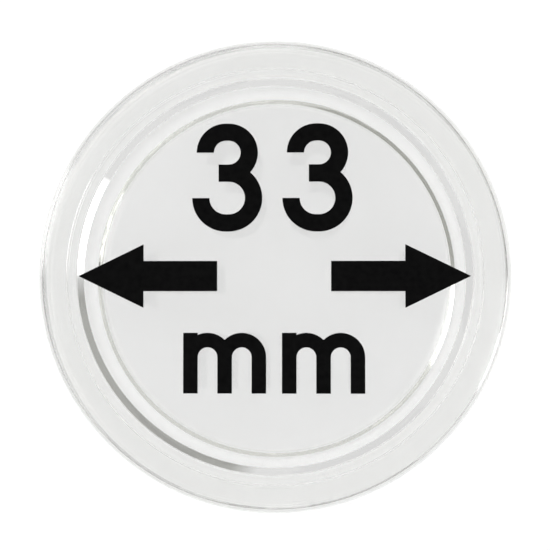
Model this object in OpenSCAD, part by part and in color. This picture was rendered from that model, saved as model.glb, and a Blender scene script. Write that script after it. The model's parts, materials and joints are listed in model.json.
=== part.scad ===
// Round coin capsule: two clear moulded shells that press together around a coin.
//
// The lower shell (base) carries the coin pocket: a window, a ledge that holds the
// coin by its rim, and a thin pocket ring. The upper shell (lid) slides down over the
// ring until its skirt meets the base's brim, and the step under its rim keeps the
// coin on the ledge. The lid's top is stamped with the pocket's size.
//
// Frame: millimetres, +Z is the capsule's axis and points up through the lid.
// The origin is the centre of the flat foot.

/* [Capsule] */
// Diameter of the coin that fits the pocket
coin_d = 33; // [28:0.5:41]
// Width of the rim outside the pocket, on each side
rim_w = 3; // [2.6:0.1:4]
// Height of the closed capsule
capsule_h = 6.4; // [6:0.1:8]
// Height of the parting line above the foot
parting_z = 2.3; // [2.1:0.1:2.8]
// Thickness of the base window
base_window_t = 1; // [0.9:0.05:1.3]
// Thickness of the lid window
lid_window_t = 0.97; // [0.8:0.01:1.1]

/* [Rim] */
// Radius of the lid's rounded outer edge
lid_edge_r = 0.34; // [0.15:0.01:0.8]
// Radius of the rounded outer edge under the brim
base_edge_r = 0.15; // [0.1:0.01:0.8]
// Size of the chamfers that form the thumbnail groove at the parting line
groove_c = 0.22; // [0.15:0.01:0.5]
// Height of the brim's underside above the foot
foot_h = 0.41; // [0.2:0.01:0.6]
// Width of the slope from the foot up to the brim's underside
foot_slope = 0.325; // [0.1:0.005:0.6]

/* [Coin seat] */
// Width of the ledge under the coin's rim
ledge_w = 1.95; // [1.2:0.01:2.4]
// Height of the ledge above the base window
ledge_h = 0.65; // [0.3:0.05:0.8]
// Thickness of the pocket ring
ring_t = 0.85; // [0.7:0.05:1]
// Gap between the top of the pocket ring and the lid's step
ring_gap = 0.34; // [0.2:0.01:0.8]
// Width of the coin's rim under the flat of the lid's step
step_w = 0.05; // [0.02:0.01:0.5]
// Width of the slope from the lid window down to the step
step_slope = 0.62; // [0.2:0.01:0.8]
// How far the step stands down from the lid window
step_h = 0.49; // [0.3:0.01:0.7]
// Radial clearance between the pocket ring and the lid's skirt
fit_gap = 0.04; // [0.02:0.01:0.1]

/* [Size stamp] */
// How deep the stamped marks are pressed into the lid
stamp_d = 0.05; // [0.03:0.01:0.1]
// Height of the figures
figure_h = 8.95; // [6:0.05:9]
// Width of a figure
figure_w = 5.8; // [5.7:0.05:6.2]
// Height of the unit's letters
letter_h = 5; // [3:0.1:5.5]
// Width of a letter
letter_w = 6.85; // [5:0.05:7]
// Height of the arrowheads
arrow_h = 5.25; // [3:0.05:6]

/* [Hidden] */
$fn = 96;

// Radii, from the axis outwards
pocket_r = coin_d / 2;
outer_r = pocket_r + rim_w;
ledge_r = pocket_r - ledge_w;
ledge_slope = 0.24;
foot_lead = 0.44;
foot_r = ledge_r + foot_lead;
step_r = pocket_r - step_w;
ring_r = pocket_r + ring_t;
skirt_r = ring_r + fit_gap;
lead_in = 0.15;

// Heights, from the foot upwards
ledge_z = base_window_t + ledge_h;
ceiling_z = capsule_h - lid_window_t;
step_z = ceiling_z - step_h;
ring_z = step_z - ring_gap;
ring_edge = 0.2;

// Stamp layout: figures above the centre and a little to its left, the unit below,
// and an arrow on each side
figure_stroke = 1.43;
letter_stroke = 1.2;
figure_x = -0.15;
figure_y = 8.15;
letter_y = -7.18;
figure_pitch = 7.46;
letter_pitch = 8.15;
arrow_inset = 0.3;
arrow_tip = pocket_r - arrow_inset;
arrow_tail = 4.7;
arrow_head = 5.4;
arrow_shaft = 2.5;

clear_plastic = [0.88, 0.9, 0.88, 0.35];
stamp_black = [0.03, 0.03, 0.03];
edge_steps = 8;
overcut = 1;

// Points of a quarter round edge, from one angle to another around its centre
function round_edge(centre, r, from, to) =
    [for (i = [0:edge_steps]) let (a = from + (to - from) * i / edge_steps) centre + r * [cos(a), sin(a)]];

// Half section of the base, from the axis under the window around to the pocket floor
function base_section() = concat(
    [[0, 0], [foot_r, 0], [foot_r + foot_slope, foot_h]],
    round_edge([outer_r - base_edge_r, foot_h + base_edge_r], base_edge_r, -90, 0),
    [
        [outer_r, parting_z - groove_c],
        [outer_r - groove_c, parting_z],
        [ring_r, parting_z]
    ],
    round_edge([ring_r - ring_edge, ring_z - ring_edge], ring_edge, 0, 90),
    round_edge([pocket_r + ring_edge, ring_z - ring_edge], ring_edge, 90, 180),
    [
        [pocket_r, ledge_z],
        [ledge_r + ledge_slope, ledge_z],
        [ledge_r, base_window_t],
        [0, base_window_t]
    ]
);

// Half section of the lid, from the axis under its window around to its flat top
function lid_section() = concat(
    [
        [0, ceiling_z],
        [step_r - step_slope, ceiling_z],
        [step_r, step_z],
        [skirt_r, step_z],
        [skirt_r, parting_z + lead_in],
        [skirt_r + lead_in, parting_z],
        [outer_r - groove_c, parting_z],
        [outer_r, parting_z + groove_c]
    ],
    round_edge([outer_r - lid_edge_r, capsule_h - lid_edge_r], lid_edge_r, 0, 90),
    [[0, capsule_h]]
);

// Lower shell with the window, the ledge and the pocket ring
module base() {
    color(clear_plastic)
        rotate_extrude()
            polygon(base_section());
}

// Upper shell with the window, the hold-down step and the skirt
module lid() {
    color(clear_plastic)
        difference() {
            rotate_extrude()
                polygon(lid_section());
            stamped(stamp_d + overcut) {
                size_number();
                size_unit();
                arrow();
                mirror([1, 0]) arrow();
            }
        }
}

// A flat mark that starts at the bottom of the stamp's pocket and is height tall
module stamped(height) {
    translate([0, 0, capsule_h - stamp_d])
        linear_extrude(height)
            children();
}

// One quarter of a round stroke, as wide and as high as its outer radius r
module quarter_stroke(r, stroke, quarter) {
    rotate(90 * quarter)
        intersection() {
            difference() {
                circle(r);
                circle(r - stroke);
            }
            square(r);
        }
}

// A bowl of the figure three: two quarters on the right, a third at the open end on
// the left, and straight bars between them; up is 1 for an end at the top, or -1
module bowl(r, stroke, flat, up) {
    bar_y = r - stroke;
    translate([flat / 2, 0]) {
        quarter_stroke(r, stroke, 0);
        quarter_stroke(r, stroke, 3);
    }
    translate([-flat / 2, 0])
        quarter_stroke(r, stroke, up > 0 ? 1 : 2);
    translate([-flat / 2, up > 0 ? bar_y : -r])
        square([flat, stroke]);
    translate([-stroke / 2, up > 0 ? -r : bar_y])
        square([(stroke + flat) / 2, stroke]);
}

// The plain figure three: two open bowls that share a short middle bar
module figure_three(h, w, stroke) {
    lower_share = 0.535;
    lower_r = (h + stroke) / 2 * lower_share;
    upper_r = (h + stroke) / 2 - lower_r;
    flat = w - 2 * lower_r;
    translate([0, lower_r])
        bowl(lower_r, stroke, flat, -1);
    translate([0, h - upper_r])
        bowl(upper_r, stroke, flat, 1);
}

// Both figures of the size, side by side
module size_number() {
    for (side = [-1, 1])
        translate([figure_x + side * figure_pitch / 2, figure_y - figure_h / 2])
            figure_three(figure_h, figure_w, figure_stroke);
}

// One arch of the letter m: two quarters on two straight legs
module arch(h, w, stroke) {
    r = w / 2;
    translate([r, h - r]) {
        quarter_stroke(r, stroke, 0);
        quarter_stroke(r, stroke, 1);
    }
    for (x = [0, w - stroke])
        translate([x, 0])
            square([stroke, h - r]);
}

// The plain letter m: a stem and two arches that share the middle leg
module letter_m(h, w, stroke) {
    arch_w = (w + stroke) / 2;
    translate([-w / 2, 0]) {
        square([stroke, h]);
        for (x = [0, arch_w - stroke])
            translate([x, 0])
                arch(h, arch_w, stroke);
    }
}

// Both letters of the unit, side by side
module size_unit() {
    for (side = [-1, 1])
        translate([side * letter_pitch / 2, letter_y - letter_h / 2])
            letter_m(letter_h, letter_w, letter_stroke);
}

// An arrow that points right, from its tail to the edge of the coin
module arrow() {
    head_x = arrow_tip - arrow_head;
    polygon([
        [arrow_tail, -arrow_shaft / 2],
        [head_x, -arrow_shaft / 2],
        [head_x, -arrow_h / 2],
        [arrow_tip, 0],
        [head_x, arrow_h / 2],
        [head_x, arrow_shaft / 2],
        [arrow_tail, arrow_shaft / 2]
    ]);
}

// The figures' stamped film
module number_stamp() {
    color(stamp_black)
        stamped(stamp_d) size_number();
}

// The unit's stamped film
module unit_stamp() {
    color(stamp_black)
        stamped(stamp_d) size_unit();
}

// The stamped arrow on the left
module left_arrow_stamp() {
    color(stamp_black)
        stamped(stamp_d) mirror([1, 0]) arrow();
}

// The stamped arrow on the right
module right_arrow_stamp() {
    color(stamp_black)
        stamped(stamp_d) arrow();
}

base();
lid();
number_stamp();
unit_stamp();
left_arrow_stamp();
right_arrow_stamp();
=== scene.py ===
"""Round clear coin capsule: two press-fit polystyrene shells and a stamped size mark.

The shells are turned from the same section as the CAD shells, with their edges broken. The
marks are the CAD marks' outlines. All lengths are in metres, so MM turns millimetres into them.
"""

import json
import math

import bmesh
import bpy
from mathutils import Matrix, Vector


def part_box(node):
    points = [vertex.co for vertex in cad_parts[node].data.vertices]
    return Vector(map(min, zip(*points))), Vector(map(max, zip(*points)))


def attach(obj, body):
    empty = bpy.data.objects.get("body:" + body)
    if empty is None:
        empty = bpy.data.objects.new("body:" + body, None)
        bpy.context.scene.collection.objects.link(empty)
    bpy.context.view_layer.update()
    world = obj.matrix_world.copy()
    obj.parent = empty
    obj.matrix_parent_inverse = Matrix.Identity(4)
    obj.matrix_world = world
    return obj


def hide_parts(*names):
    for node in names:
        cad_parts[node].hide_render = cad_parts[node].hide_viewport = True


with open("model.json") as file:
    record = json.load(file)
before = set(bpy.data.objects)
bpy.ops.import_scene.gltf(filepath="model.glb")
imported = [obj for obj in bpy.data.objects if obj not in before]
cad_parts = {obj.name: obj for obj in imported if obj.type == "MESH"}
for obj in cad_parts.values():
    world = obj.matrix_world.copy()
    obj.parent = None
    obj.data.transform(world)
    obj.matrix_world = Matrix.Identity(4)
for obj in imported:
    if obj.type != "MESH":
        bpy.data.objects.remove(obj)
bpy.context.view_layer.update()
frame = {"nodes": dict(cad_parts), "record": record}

MM = 0.001

# ---------------------------------------------------------------- sizes, from the frame
base_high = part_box("base")[1]
lid_low, lid_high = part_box("lid")
mounts = {m["name"]: m for m in frame["record"]["mounts"]}

OUTER_R = base_high.x
POCKET_R = mounts["coin_pocket"]["dims"]["r_mm"] * MM
RING_Z = base_high.z
PARTING_Z = lid_low.z
TOP_Z = lid_high.z

# Details of the section that the frame's boxes don't give. BREAK is the radius on the edges
# that are sharp in the CAD, and AIR_GAP keeps faces that meet from lying in one plane.
LID_EDGE_R = 0.34 * MM
BASE_EDGE_R = 0.15 * MM
GROOVE = 0.22 * MM
FOOT_H = 0.41 * MM
FOOT_SLOPE = 0.325 * MM
FOOT_LEAD = 0.44 * MM
BASE_WINDOW_T = 1.0 * MM
LID_WINDOW_T = 0.97 * MM
LEDGE_W = 1.95 * MM
LEDGE_H = 0.65 * MM
LEDGE_SLOPE = 0.24 * MM
STEP_W = 0.05 * MM
STEP_H = 0.49 * MM
STEP_SLOPE = 0.62 * MM
RING_T = 0.85 * MM
RING_EDGE = 0.2 * MM
FIT_GAP = 0.04 * MM
LEAD_IN = 0.15 * MM
BREAK = 0.05 * MM
AIR_GAP = 0.02 * MM

# The stamped film stands this far above the lid, and its edges are softened by this much
FILM_PROUD = 0.015 * MM
FILM_EDGE = 0.012 * MM

# Points this close together are one point, and points this close to the top lie in it
MERGE_WITHIN = 0.001 * MM
TOP_WITHIN = 0.01 * MM

RING_R = POCKET_R + RING_T
SKIRT_R = RING_R + FIT_GAP
LEDGE_R = POCKET_R - LEDGE_W
LEDGE_Z = BASE_WINDOW_T + LEDGE_H
FOOT_R = LEDGE_R + FOOT_LEAD
STEP_R = POCKET_R - STEP_W
CEILING_Z = TOP_Z - LID_WINDOW_T
STEP_Z = CEILING_Z - STEP_H

# Points per turn of the shells, and per rounded corner of their section
SEGMENTS = 288
CORNER_STEPS = 6

# How far a rounded corner's holding points lie from its arc: a share of the radius, and at most
HOLD_SHARE = 0.25
HOLD_MOST = 0.02 * MM

# Clear polystyrene: the flow marks' two tints, waviness, and hairline scratches
PLASTIC_IOR = 1.59
FLOW_SIZE = 6 * MM
FLOW_TINTS = ((0.909, 0.910, 0.908), (0.917, 0.917, 0.917))
WAVE_SIZE = 4 * MM
WAVE_DEPTH = 0.012 * MM
SCRATCH_WIDTH = 0.08 * MM
SCRATCH_DEPTH = 0.002 * MM
SCRATCH_ROUGHNESS = 0.07
ABSORBED_TINT = (0.90, 0.915, 0.81, 1)
ABSORPTION = 16

# Black stamping film: patches of uneven sheen, and the fine grain of pressed plastic
FILM_SPECULAR = 0.03
FILM_TINTS = ((0.0006, 0.0006, 0.0007), (0.003, 0.003, 0.003))
FILM_ROUGHNESS = (0.45, 0.7)
PATCH_SIZE = 0.5 * MM
GRAIN_SIZE = 0.06 * MM
GRAIN_DEPTH = 0.002 * MM

# Studio: a matt white table that is partly lit from inside, so that shadows stay soft
FLOOR_SIZE = 4
FLOOR_ALBEDO = 0.27
FLOOR_GLOW = 0.71
FLOOR_ROUGHNESS = 0.9
CARD_DISTANCE = 400 * MM

# Camera: 2.5 degrees off the capsule's axis, with the outline across most of the picture
CAMERA_DISTANCE = 130 * MM
CAMERA_TILT = math.radians(2.5)
CAMERA_TURN = math.radians(-45)
CAMERA_DEPTH = 0.5 * MM
CAMERA_AIM = Vector((0.06 * MM, 0.1 * MM, TOP_Z - CAMERA_DEPTH))
OUTLINE_SHARE = 0.86
SENSOR_WIDTH = 36


# ---------------------------------------------------------------- meshes
def rounded(corners):
    """Section points with each corner (r, z, radius) rounded.

    A holding point on each side of the arc keeps the flats beside it flat when shaded smooth.
    """
    points = []
    for i, (r, z, radius) in enumerate(corners):
        here = Vector((r, z))
        if not radius:
            points.append(here)
            continue
        before = (Vector(corners[i - 1][:2]) - here).normalized()
        after = (Vector(corners[i + 1][:2]) - here).normalized()
        half = before.angle(after) / 2
        reach = radius / math.tan(half)
        centre = here + (before + after).normalized() * (radius / math.sin(half))
        start = here + before * reach - centre
        sweep = -start.angle_signed(here + after * reach - centre)
        hold = min(HOLD_SHARE * radius, HOLD_MOST)
        points.append(here + before * (reach + hold))
        for k in range(CORNER_STEPS + 1):
            turn = sweep * k / CORNER_STEPS
            c, s = math.cos(turn), math.sin(turn)
            points.append(centre + Vector((c * start.x - s * start.y, s * start.x + c * start.y)))
        points.append(here + after * (reach + hold))
    return points


def lathe(name, section):
    """A solid of revolution about Z. The section runs from one point on the axis to another."""
    verts, rows = [], []
    for p in section:
        if p.x < 1e-9:
            rows.append([len(verts)])
            verts.append((0.0, 0.0, p.y))
            continue
        rows.append(list(range(len(verts), len(verts) + SEGMENTS)))
        for k in range(SEGMENTS):
            a = 2 * math.pi * k / SEGMENTS
            verts.append((p.x * math.cos(a), p.x * math.sin(a), p.y))
    faces = []
    for low, high in zip(rows, rows[1:]):
        for k in range(SEGMENTS):
            n = (k + 1) % SEGMENTS
            if len(low) == 1:
                faces.append((low[0], high[n], high[k]))
            elif len(high) == 1:
                faces.append((low[k], low[n], high[0]))
            else:
                faces.append((low[k], low[n], high[n], high[k]))
    mesh = bpy.data.meshes.new(name)
    mesh.from_pydata(verts, [], faces)
    mesh.shade_smooth()
    mesh.update()
    obj = bpy.data.objects.new(name, mesh)
    bpy.context.scene.collection.objects.link(obj)
    return obj


def base_shell():
    """The lower shell: foot, brim, pocket ring, ledge and window."""
    corners = [
        (0, 0, 0),
        (FOOT_R, 0, BREAK),
        (FOOT_R + FOOT_SLOPE, FOOT_H, BREAK),
        (OUTER_R, FOOT_H, BASE_EDGE_R),
        (OUTER_R, PARTING_Z - GROOVE, BREAK),
        (OUTER_R - GROOVE, PARTING_Z, BREAK),
        (RING_R, PARTING_Z, BREAK),
        (RING_R, RING_Z, RING_EDGE),
        (POCKET_R, RING_Z, RING_EDGE),
        (POCKET_R, LEDGE_Z, BREAK),
        (LEDGE_R + LEDGE_SLOPE, LEDGE_Z, BREAK),
        (LEDGE_R, BASE_WINDOW_T, BREAK),
        (0, BASE_WINDOW_T, 0),
    ]
    return lathe("base_shell", rounded(corners))


def lid_shell():
    """The upper shell: window, hold-down step, skirt and flat top."""
    corners = [
        (0, CEILING_Z, 0),
        (STEP_R - STEP_SLOPE, CEILING_Z, BREAK),
        (STEP_R, STEP_Z, BREAK),
        (SKIRT_R, STEP_Z, BREAK),
        (SKIRT_R, PARTING_Z + LEAD_IN, BREAK),
        (SKIRT_R + LEAD_IN, PARTING_Z + AIR_GAP, BREAK),
        (OUTER_R - GROOVE, PARTING_Z + AIR_GAP, BREAK),
        (OUTER_R, PARTING_Z + GROOVE, BREAK),
        (OUTER_R, TOP_Z, LID_EDGE_R),
        (0, TOP_Z, 0),
    ]
    return lathe("lid_shell", rounded(corners))


def film_piece(name, node):
    """One stamped mark: a film in the CAD mark's outline, with softened edges on top."""
    mesh = bpy.data.meshes.new(name)
    bm = bmesh.new()
    bm.from_mesh(frame["nodes"][node].data)
    bmesh.ops.remove_doubles(bm, verts=bm.verts, dist=MERGE_WITHIN)
    bmesh.ops.dissolve_limit(bm, angle_limit=math.radians(1), verts=bm.verts, edges=bm.edges)
    top = [v for v in bm.verts if v.co.z > TOP_Z - TOP_WITHIN]
    for v in top:
        v.co.z = TOP_Z + FILM_PROUD
    rim = [e for e in bm.edges if all(v in top for v in e.verts)]
    bmesh.ops.bevel(
        bm,
        geom=rim,
        offset=FILM_EDGE,
        offset_type="OFFSET",
        segments=2,
        profile=0.5,
        affect="EDGES",
    )
    bm.to_mesh(mesh)
    bm.free()
    obj = bpy.data.objects.new(name, mesh)
    bpy.context.scene.collection.objects.link(obj)
    return obj


# ---------------------------------------------------------------- materials
def noise(nt, size, detail=2.0, stretch=(1, 1, 1)):
    """Noise with features about `size` metres across, drawn out along the axes by `stretch`."""
    coords = nt.nodes.new("ShaderNodeTexCoord")
    mapping = nt.nodes.new("ShaderNodeMapping")
    mapping.inputs["Scale"].default_value = [1 / (size * s) for s in stretch]
    texture = nt.nodes.new("ShaderNodeTexNoise")
    texture.inputs["Scale"].default_value = 1
    texture.inputs["Detail"].default_value = detail
    nt.links.new(coords.outputs["Object"], mapping.inputs["Vector"])
    nt.links.new(mapping.outputs["Vector"], texture.inputs["Vector"])
    return texture.outputs["Fac"]


def spread(nt, value, low, high, start=0.3, end=0.7):
    """A number that goes from low to high as value goes from start to end."""
    node = nt.nodes.new("ShaderNodeMapRange")
    node.inputs["From Min"].default_value = start
    node.inputs["From Max"].default_value = end
    node.inputs["To Min"].default_value = low
    node.inputs["To Max"].default_value = high
    nt.links.new(value, node.inputs["Value"])
    return node.outputs["Result"]


def blend_colours(nt, value, dark, light):
    """A colour that goes from dark to light as value goes from 0 to 1."""
    node = nt.nodes.new("ShaderNodeMix")
    node.data_type = "RGBA"
    node.inputs["A"].default_value = (*dark, 1)
    node.inputs["B"].default_value = (*light, 1)
    nt.links.new(value, node.inputs["Factor"])
    return node.outputs["Result"]


def larger(nt, a, b):
    """The larger of two numbers."""
    node = nt.nodes.new("ShaderNodeMath")
    node.operation = "MAXIMUM"
    nt.links.new(a, node.inputs[0])
    nt.links.new(b, node.inputs[1])
    return node.outputs["Value"]


def bump(nt, height, depth, under=None):
    """A normal for a relief that is `depth` metres deep where the height goes from 0 to 1."""
    node = nt.nodes.new("ShaderNodeBump")
    node.inputs["Distance"].default_value = depth
    nt.links.new(height, node.inputs["Height"])
    if under:
        nt.links.new(under, node.inputs["Normal"])
    return node.outputs["Normal"]


def clear_plastic():
    """Polished clear polystyrene, with flow marks and waviness from moulding and fine scratches."""
    mat = bpy.data.materials.new("clear_polystyrene")
    mat.use_nodes = True
    nt = mat.node_tree
    shader = nt.nodes["Principled BSDF"]
    shader.inputs["Transmission Weight"].default_value = 1
    shader.inputs["IOR"].default_value = PLASTIC_IOR
    flow = noise(nt, FLOW_SIZE, detail=3)
    colour = blend_colours(nt, spread(nt, flow, 0, 1), *FLOW_TINTS)
    nt.links.new(colour, shader.inputs["Base Color"])
    along_x = noise(nt, SCRATCH_WIDTH, stretch=(60, 1, 60))
    along_y = noise(nt, SCRATCH_WIDTH, stretch=(1, 45, 45))
    one_way = spread(nt, along_x, 0, SCRATCH_ROUGHNESS, 0.70, 0.78)
    other_way = spread(nt, along_y, 0, SCRATCH_ROUGHNESS, 0.72, 0.80)
    nt.links.new(larger(nt, one_way, other_way), shader.inputs["Roughness"])
    wavy = bump(nt, noise(nt, WAVE_SIZE), WAVE_DEPTH)
    nt.links.new(bump(nt, one_way, SCRATCH_DEPTH, under=wavy), shader.inputs["Normal"])
    absorb = nt.nodes.new("ShaderNodeVolumeAbsorption")
    absorb.inputs["Color"].default_value = ABSORBED_TINT
    absorb.inputs["Density"].default_value = ABSORPTION
    nt.links.new(absorb.outputs[0], nt.nodes["Material Output"].inputs["Volume"])
    return mat


def stamp_film():
    """Dull black hot-stamping film, with an uneven sheen and the grain of the pressed plastic."""
    mat = bpy.data.materials.new("black_stamp_film")
    mat.use_nodes = True
    nt = mat.node_tree
    shader = nt.nodes["Principled BSDF"]
    shader.inputs["Specular IOR Level"].default_value = FILM_SPECULAR
    patches = noise(nt, PATCH_SIZE, detail=4)
    colour = blend_colours(nt, spread(nt, patches, 0, 1), *FILM_TINTS)
    nt.links.new(colour, shader.inputs["Base Color"])
    nt.links.new(spread(nt, patches, *FILM_ROUGHNESS), shader.inputs["Roughness"])
    nt.links.new(bump(nt, noise(nt, GRAIN_SIZE, detail=3), GRAIN_DEPTH), shader.inputs["Normal"])
    return mat


# ---------------------------------------------------------------- studio
def floor():
    """A large matt white table, just under the foot, that glows evenly."""
    bpy.ops.mesh.primitive_plane_add(size=FLOOR_SIZE)
    obj = bpy.context.object
    obj.name = "floor"
    obj.location.z = -AIR_GAP
    mat = bpy.data.materials.new("floor")
    mat.use_nodes = True
    shader = mat.node_tree.nodes["Principled BSDF"]
    shader.inputs["Base Color"].default_value = (FLOOR_ALBEDO, FLOOR_ALBEDO, FLOOR_ALBEDO, 1)
    shader.inputs["Roughness"].default_value = FLOOR_ROUGHNESS
    shader.inputs["Emission Color"].default_value = (1, 1, 1, 1)
    shader.inputs["Emission Strength"].default_value = FLOOR_GLOW
    obj.data.materials.append(mat)


def sky(low, ring, top):
    """A white studio, brightest in a wide ring of light overhead, about 46 to 70 degrees up."""
    world = bpy.data.worlds.new("studio")
    world.use_nodes = True
    nt = world.node_tree
    coords = nt.nodes.new("ShaderNodeTexCoord")
    split = nt.nodes.new("ShaderNodeSeparateXYZ")
    ramp = nt.nodes.new("ShaderNodeValToRGB")
    nt.links.new(coords.outputs["Generated"], split.inputs[0])
    nt.links.new(split.outputs["Z"], ramp.inputs["Fac"])
    nt.links.new(ramp.outputs["Color"], nt.nodes["Background"].inputs["Color"])
    nt.nodes["Background"].inputs["Strength"].default_value = ring
    stops = ((42, low), (50, ring), (66, ring), (74, top))
    while len(ramp.color_ramp.elements) < len(stops):
        ramp.color_ramp.elements.new(0.5)
    for stop, (elevation, level) in zip(ramp.color_ramp.elements, stops):
        stop.position = math.sin(math.radians(elevation))
        stop.color = (level / ring,) * 3 + (1,)
    bpy.context.scene.world = world


def card(name, azimuth, half_width, height, colour, fade=8, columns=32):
    """A curved, evenly lit card that stands on the floor around the capsule and fades out at
    both ends. Angles are in degrees.
    """
    mesh = bpy.data.meshes.new(name)
    obj = bpy.data.objects.new(name, mesh)
    bpy.context.scene.collection.objects.link(obj)
    verts, cover = [], []
    for i in range(columns + 1):
        turn = (2 * i / columns - 1) * (half_width + fade / 2)
        a = math.radians(azimuth + turn)
        for z in (-AIR_GAP, height):
            verts.append((CARD_DISTANCE * math.cos(a), CARD_DISTANCE * math.sin(a), z))
            cover.append(min(max((half_width + fade / 2 - abs(turn)) / fade, 0), 1))
    mesh.from_pydata(verts, [], [(2 * i, 2 * i + 2, 2 * i + 3, 2 * i + 1) for i in range(columns)])
    mesh.attributes.new("cover", "FLOAT", "POINT").data.foreach_set("value", cover)
    mat = bpy.data.materials.new(name)
    mat.use_nodes = True
    nt = mat.node_tree
    nt.nodes.remove(nt.nodes["Principled BSDF"])
    attribute = nt.nodes.new("ShaderNodeAttribute")
    attribute.attribute_name = "cover"
    clear = nt.nodes.new("ShaderNodeBsdfTransparent")
    glow = nt.nodes.new("ShaderNodeEmission")
    glow.inputs["Color"].default_value = (*colour, 1)
    mix = nt.nodes.new("ShaderNodeMixShader")
    nt.links.new(attribute.outputs["Fac"], mix.inputs["Fac"])
    nt.links.new(clear.outputs[0], mix.inputs[1])
    nt.links.new(glow.outputs[0], mix.inputs[2])
    nt.links.new(mix.outputs[0], nt.nodes["Material Output"].inputs["Surface"])
    mesh.materials.append(mat)
    obj.visible_camera = False


def camera():
    """The camera, with a lens that fits the capsule's outline into the picture."""
    cam = bpy.data.cameras.new("camera")
    cam.sensor_width = SENSOR_WIDTH
    field = 2 * OUTER_R / OUTLINE_SHARE
    cam.lens = cam.sensor_width * CAMERA_DISTANCE / field
    obj = bpy.data.objects.new("camera", cam)
    bpy.context.scene.collection.objects.link(obj)
    sideways = math.sin(CAMERA_TILT)
    away = Vector(
        (sideways * math.cos(CAMERA_TURN), sideways * math.sin(CAMERA_TURN), math.cos(CAMERA_TILT))
    )
    obj.location = CAMERA_AIM + away * (CAMERA_DISTANCE + CAMERA_DEPTH)
    obj.rotation_euler = Vector((0, 0, 1)).rotation_difference(away).to_euler()
    cam.clip_start, cam.clip_end = 0.01, 10
    bpy.context.scene.camera = obj


# ---------------------------------------------------------------- the object
base = base_shell()
lid = lid_shell()
plastic = clear_plastic()
film = stamp_film()
for shell, body in ((base, "base"), (lid, "lid")):
    shell.data.materials.append(plastic)
    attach(shell, body)
    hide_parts(body)
for node in ("number_stamp", "unit_stamp", "left_arrow_stamp", "right_arrow_stamp"):
    mark = film_piece(node.replace("stamp", "film"), node)
    mark.data.materials.append(film)
    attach(mark, "lid")
    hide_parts(node)

# ---------------------------------------------------------------- its surroundings
floor()
sky(low=0.8, ring=1.9, top=0.8)
card("dark_card", azimuth=220, half_width=39, height=240 * MM, colour=(0.39, 0.39, 0.37))
card("light_card", azimuth=164, half_width=12.5, height=494 * MM, colour=(4, 4, 4), fade=5)
camera()

# Clear plastic needs many bounces, and its highlights must not be blurred
scene = bpy.context.scene
scene.view_settings.view_transform = "Standard"
scene.cycles.blur_glossy = 0
scene.cycles.max_bounces = 40
scene.cycles.transmission_bounces = 40
scene.cycles.glossy_bounces = 32
scene.cycles.diffuse_bounces = 6
